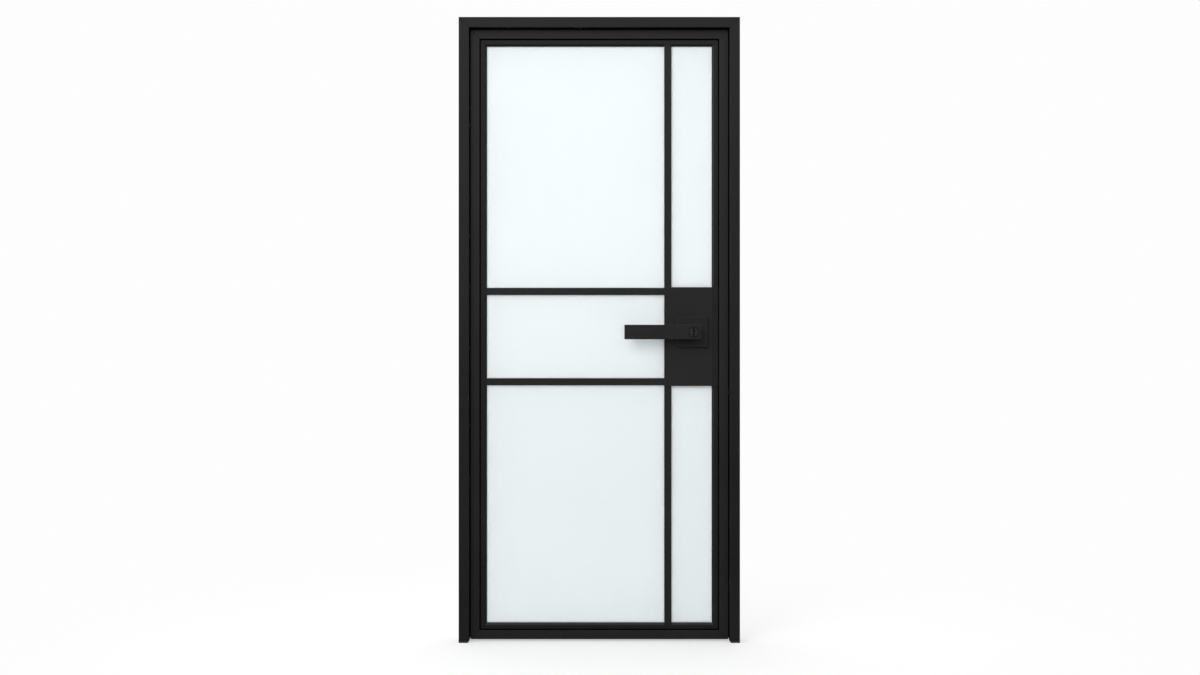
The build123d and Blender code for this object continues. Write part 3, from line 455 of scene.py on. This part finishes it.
print("key plug: radius", round(1000 * plug_radius, 1), "mm, face at", round(1000 * plug_face, 1), "mm")


# %% [markdown]
# ## Lever, cylinder and latch
#
# The levers and roses are castings with a smooth satin coat, of a finer grain than the powder coat on the
# profiles. The cylinder is machined and blackened, so it shines a little more, and so do the latch bolt,
# its faceplate and the strike. All are one finish in different strengths: a fine skin as a bump, and a slow
# drift in colour and roughness.

# %% Satin black
satin_grain = 0.0006
satin_depth = 0.000006
satin_drift = 0.05
unlit = 0.001


def satin_black(name, level, roughness, keyway=False):
    material = bpy.data.materials.new(name)
    graph = Graph(material)
    skin = graph.noise(satin_grain, detail=2.0)
    drift = graph.noise(satin_drift, detail=2.0)
    casting = graph.principled({
        "Base Color": graph.greys(drift.spread(), level, darker=0.92, lighter=1.08),
        "Roughness": drift.spread(roughness - coat_swing, roughness + coat_swing),
        "Normal": graph.bump(skin, satin_depth),
        "Specular IOR Level": black_coat_gloss,
    })
    # Painted shade: a near-black matt down the keyway and in the ring round the plug.
    if keyway:
        casting = graph.mix(keyway_painted_shade(graph), casting, graph.matt(grey(unlit)))
    graph.surface(casting)
    return material


lever_coat = satin_black("lever_satin", level=0.008, roughness=0.45)
cylinder_coat = satin_black("blackened_cylinder", level=0.012, roughness=0.4, keyway=True)
latch_coat = satin_black("black_latch", level=0.006, roughness=0.42)
print("satin blacks:", lever_coat.name, cylinder_coat.name, latch_coat.name)


# %% [markdown]
# ## Bare metal
#
# The corner cleats are aluminium as it left the mill. The latch case, the spindle and what else is out of
# sight in the lock are zinc plated steel. Both metals have the fine lines of the die or press that they
# went through. Such lines are a noise that is much finer across them than along them.

# %% Bare metal
scratch_size = 0.01
scratch_depth = 0.000008
brighter_by = 0.06
blunter_by = 0.08


def bare_metal(name, level, roughness, finer):
    """Metal with fine scratches. The scratches are so many times finer along X, Y and Z."""
    material = bpy.data.materials.new(name)
    graph = Graph(material)
    scratches = graph.noise(scratch_size, detail=3.0, stretch=finer)
    graph.surface(graph.principled({
        "Base Color": graph.greys(scratches.spread(), level, darker=0.9, lighter=1.08),
        "Metallic": 1.0,
        "Roughness": scratches.spread(roughness - brighter_by, roughness + blunter_by),
        "Normal": graph.bump(scratches, scratch_depth),
    }))
    return material


cleat_metal = bare_metal("mill_aluminium", level=0.6, roughness=0.42, finer=(1, 20, 20))
lock_metal = bare_metal("zinc_plated_steel", level=0.5, roughness=0.36, finer=(30, 30, 1))
print("bare metals:", cleat_metal.name, lock_metal.name)


# %% [markdown]
# ## Giving each piece its finish
#
# Every piece arrives with a slot that says what it is made of. The slot stays where it is and only the
# material in it is exchanged.

# %% Finishes on the pieces
finish_of_slot = {
    "frame_paint": frame_coat,
    "leaf_paint": leaf_coat,
    "frosted_glass": pane_glass,
    "seal_rubber": seal_rubber,
    "black_plastic": black_plastic,
    "lever_black": lever_coat,
    "hinge_black": hinge_coat,
    "cylinder_black": cylinder_coat,
    "lock_black": latch_coat,
    "cleat_aluminium": cleat_metal,
    "lock_steel": lock_metal,
}

for name in sorted(nodes):
    for place in nodes[name].material_slots:
        place.material = finish_of_slot[place.material.name.split(".")[0]]
print("finished pieces:", len(nodes))


# %% [markdown]
# ## The cross recess
#
# Each hinge wing, the strike and the faceplate are held by flat countersunk screws with a cross recess,
# which a punch presses into the head. The recess shows when one looks at a hinge or at the open edge of the
# leaf, and a bump would look flat there, so the screws are made once more with it as real geometry. Its
# outline is a cross of twelve corners: one quarter of it, turned four times.

# %% Outlines
rim_steps = 28


def cross_outline(reach, half_width):
    """The twelve corners of a cross, going round."""
    quarter = [(half_width, half_width), (half_width, reach), (-half_width, reach)]
    corners = []
    for turn in range(4):
        cosine, sine = math.cos(math.pi / 2 * turn), math.sin(math.pi / 2 * turn)
        corners += [(x * cosine - y * sine, x * sine + y * cosine) for x, y in quarter]
    return corners


def circle(radius):
    angles = [2 * math.pi * step / rim_steps for step in range(rim_steps)]
    return [(radius * math.cos(angle), radius * math.sin(angle)) for angle in angles]


print("a cross has", len(cross_outline(1.0, 0.3)), "corners and a rim", len(circle(1.0)))


# %% [markdown]
# ## One screw
#
# A screw is a stack of rings with walls between them: the rim of the head, the neck where the cone ends,
# and the tip. The flat top is filled between the rim and the cross, which leaves the recess open. The cross
# is then drawn down to a smaller one, so the recess is wider at its mouth than at its floor, as a pressed
# one is.

# %% Countersunk screw
recess_arm = 0.48
recess_half_width = 0.14
recess_depth = 0.28
recess_taper = 0.5


def ring(mesh, points, height):
    """Adds points at one height and returns them with the edges that close the ring."""
    made = [mesh.verts.new((x, y, height)) for x, y in points]
    edges = [mesh.edges.new((made[i - 1], made[i])) for i in range(len(made))]
    return made, edges


def skirt(mesh, upper, lower):
    """Fills the wall between two rings."""
    for i in range(len(upper)):
        mesh.faces.new((upper[i - 1], upper[i], lower[i], lower[i - 1]))


def add_screw(mesh, place, head, shank, length):
    """Adds one screw whose flat top is at the place, with its shank along minus Z."""
    start = len(mesh.verts)
    arm, half_width = head * recess_arm, head * recess_half_width
    rim, rim_edges = ring(mesh, circle(head), 0)
    cross, cross_edges = ring(mesh, cross_outline(arm, half_width), 0)
    low_cross = cross_outline(arm * recess_taper, half_width * recess_taper)
    recess_floor, _ = ring(mesh, low_cross, -head * recess_depth)
    neck, _ = ring(mesh, circle(shank), shank - head)
    tip, _ = ring(mesh, circle(shank), -length)
    bmesh.ops.triangle_fill(mesh, edges=rim_edges + cross_edges, use_beauty=True)
    skirt(mesh, recess_floor, cross)
    mesh.faces.new(recess_floor)
    skirt(mesh, neck, rim)
    skirt(mesh, tip, neck)
    mesh.faces.new(tip)
    mesh.verts.ensure_lookup_table()
    bmesh.ops.transform(mesh, matrix=place, verts=mesh.verts[start:])


print("the recess goes", recess_depth, "of the head's radius deep")


# %% [markdown]
# ## Where the screws stand
#
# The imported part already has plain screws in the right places, so nothing has to be placed by hand. The
# points of a plain screw that lie furthest out are those of its flat top. Points that are nearer to each
# other than the next screw belong to one head, and their mean is its middle.

# %% Head places
flat_within = 0.00002
x_axis = 0
y_axis = 1


def head_places(name, axis, outward, spacing):
    """The middle of each screw's flat top, found from the points of the plain screws."""
    points = [vertex.co.copy() for vertex in nodes[name].data.vertices]
    face = max(outward * point[axis] for point in points)
    heads = []
    for point in points:
        if outward * point[axis] < face - flat_within:
            continue
        near = [head for head in heads if (head[0] - point).length < spacing]
        if near:
            near[0].append(point)
        else:
            heads.append([point])
    return [sum(head, Vector()) / len(head) for head in heads]


print("hinge screws in the frame:", len(head_places("hinge_screws_frame", y_axis, 1, spacing=0.01)))


# %% [markdown]
# ## The screws in place of the plain ones
#
# Each row of screws becomes one object that rides on the same body as the plain row and stands for it.
# Screws in the hinge wings face the back of the door, those in the strike face the leaf, and those in the
# faceplate face the jamb. Their sizes are the radius of the head, the radius of the shank, and the length.

# %% Screws
heads_apart = 3
hinge_screw = (0.004, 0.002, 0.014)
lock_screw = (0.0033, 0.0018, 0.012)


def cross_screws(name, axis, outward, body, sizes, slot):
    """Stands cross-recessed screws in the place of a row of plain ones."""
    direction = Vector([outward if i == axis else 0 for i in range(3)])
    turn = direction.to_track_quat("Z", "X").to_matrix().to_4x4()
    mesh = bmesh.new()
    places = head_places(name, axis, outward, heads_apart * sizes[0])
    for place in places:
        add_screw(mesh, Matrix.Translation(place) @ turn, *sizes)
    bmesh.ops.recalc_face_normals(mesh, faces=mesh.faces)
    data = bpy.data.meshes.new(name + "_cross")
    mesh.to_mesh(data)
    mesh.free()
    screws = bpy.data.objects.new(name + "_cross", data)
    bpy.context.scene.collection.objects.link(screws)
    data.materials.append(finish_of_slot[slot])
    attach(screws, body)
    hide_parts(name)
    print(name, len(places), "screws", len(data.polygons), "faces")


cross_screws("hinge_screws_frame", y_axis, 1, "frame", hinge_screw, "hinge_black")
cross_screws("hinge_screws_leaf", y_axis, 1, "leaf", hinge_screw, "hinge_black")
cross_screws("strike_screws", x_axis, -1, "frame", lock_screw, "lock_black")
cross_screws("faceplate_screws", x_axis, 1, "leaf", lock_screw, "lock_black")


# %% [markdown]
# ## The floor
#
# The door stands on a pale studio floor that runs on into a white background with no visible edge. Near the
# door the camera sees pale matt paper mixed evenly with light of its own, so it is nearly as bright as the
# background and still takes the soft shadow. Further off the paper gives way to light alone, of the same
# white as the background, and the place where they meet can't be seen.
#
# The same floor also shows through the glass and in the coat, and it throws light up at the door. The
# photo's black metal reflects a much dimmer floor than the white one in view, so the paper has a level of
# its own for each kind of ray. A ray that is scattered through rough glass counts as a reflected one too,
# so the kinds are asked for one after another.

# %% Floor
white = 0.985
floor_size = 60.0
near_glow = 0.5
seen_level = 0.66
through_level = 0.39
lighting_level = 0.45
reflected_near = 0.1
reflected_far = 0.05
glow_reach = (0.6, 2.0)
reflected_reach = (0.2, 1.2)

bpy.ops.mesh.primitive_plane_add(size=floor_size, location=(0, 0, 0))
floor = bpy.context.active_object
floor.name = "studio_floor"

floor_material = bpy.data.materials.new("studio_floor_white")
paper = Graph(floor_material)
reach = paper.vectors("LENGTH", paper.place(), out="Value")
seen = paper.ray("Is Camera Ray")
glow = reach.ramp(*glow_reach, near_glow, 1.0) * seen
reflected = reach.ramp(*reflected_reach, reflected_near, reflected_far)
indirect = paper.ray("Is Glossy Ray").choose(reflected, lighting_level)
level = seen.choose(seen_level, paper.ray("Is Transmission Ray").choose(through_level, indirect))
light = paper.node("ShaderNodeEmission", None, {"Color": grey(white), "Strength": 1.0})
paper.surface(paper.mix(glow, paper.matt(paper.blend(level, grey(0.0), grey(1.0))), light))
floor.data.materials.append(floor_material)
print("floor:", floor_size, "m")


# %% [markdown]
# ## Lamps
#
# The shadows in the photo are soft and fall down and a little to the right, so the main light is a wide
# disc above and to the left, in front of the door. Ledges that face up and edges that face left catch it,
# and the gaps under the head and beside the hinge jamb stay dark. A weaker disc over the door lights the
# floor round it. The coat shows no bright discs in the photo, so both are left out of reflections.

# %% Lamps
def soft_light(name, place, target, size, power):
    lamp = bpy.data.lights.new(name, "AREA")
    lamp.shape = "DISK"
    lamp.size = size
    lamp.energy = power
    holder = bpy.data.objects.new(name, lamp)
    holder.location = place
    holder.rotation_euler = (Vector(target) - Vector(place)).to_track_quat("-Z", "Y").to_euler()
    holder.visible_glossy = False
    bpy.context.scene.collection.objects.link(holder)
    print(name, "is", size, "m wide and has", power, "W")


soft_light("key_light", (-2.2, -5.0, 3.2), (0, 0, 1.1), size=3.4, power=210)
soft_light("top_light", (0.2, 0.8, 4.5), (0, 0, 0.5), size=3.0, power=90)


# %% [markdown]
# ## The room
#
# What a black coat shows is mostly the room. The photo's metal reflects a dim one that is brighter above
# than below, and a little brighter on the left, with one bright strip far out on the left that draws the
# thin light lines on the edges that face it. The walls are therefore three ramps over the direction that is
# looked in. The camera itself sees the plain white background, and the light behind the glass has a level
# of its own, at which the panes come out as bright as in the photo.

# %% Room
behind_glass = 0.68
floor_to_ceiling = (-0.05, 0.5)
dim_below, bright_above = 0.3, 1.1
left_to_right = (-0.5, 0.5)
left_wall, right_wall = 1.15, 0.75
strip_edges = (-0.97, -0.75)
strip_light = 1.8

world = bpy.data.worlds.new("studio_room")
bpy.context.scene.world = world
room = Graph(world)
heading = room.node("ShaderNodeTexCoord", out="Generated")
up = room.component("Z", heading)
right = room.component("X", heading)
walls = up.ramp(*floor_to_ceiling, dim_below, bright_above)
walls = walls * right.ramp(*left_to_right, left_wall, right_wall)
walls = walls + right.ramp(*strip_edges, strip_light, 0.0)
lit = room.ray("Is Transmission Ray").choose(behind_glass, walls)
strength = room.ray("Is Camera Ray").choose(white, lit)
backdrop = room.node("ShaderNodeBackground", None, {"Color": grey(1.0), "Strength": strength})
room.node("ShaderNodeOutputWorld", None, {"Surface": backdrop})
print("room:", world.name)


# %% [markdown]
# ## Camera
#
# The photo looks straight at the door from about five and a half metres, from half the door's height, so
# upright lines stay upright. A lens of 49 mm on a sensor 36 mm wide takes in the same part of the room. The
# place and the lens were fitted to the edges of the door that the photo shows.

# %% Camera
camera_place = (0.0023, -5.5056, 1.0139)
level_gaze = (math.radians(90), 0, 0)

camera_data = bpy.data.cameras.new("front_camera")
camera_data.sensor_width = 36.0
camera_data.lens = 49.26
camera = bpy.data.objects.new("front_camera", camera_data)
camera.location = camera_place
camera.rotation_euler = level_gaze
bpy.context.scene.collection.objects.link(camera)
bpy.context.scene.camera = camera
bpy.context.scene.view_settings.view_transform = "Standard"
print("camera:", tuple(camera.location), camera_data.lens, "mm")
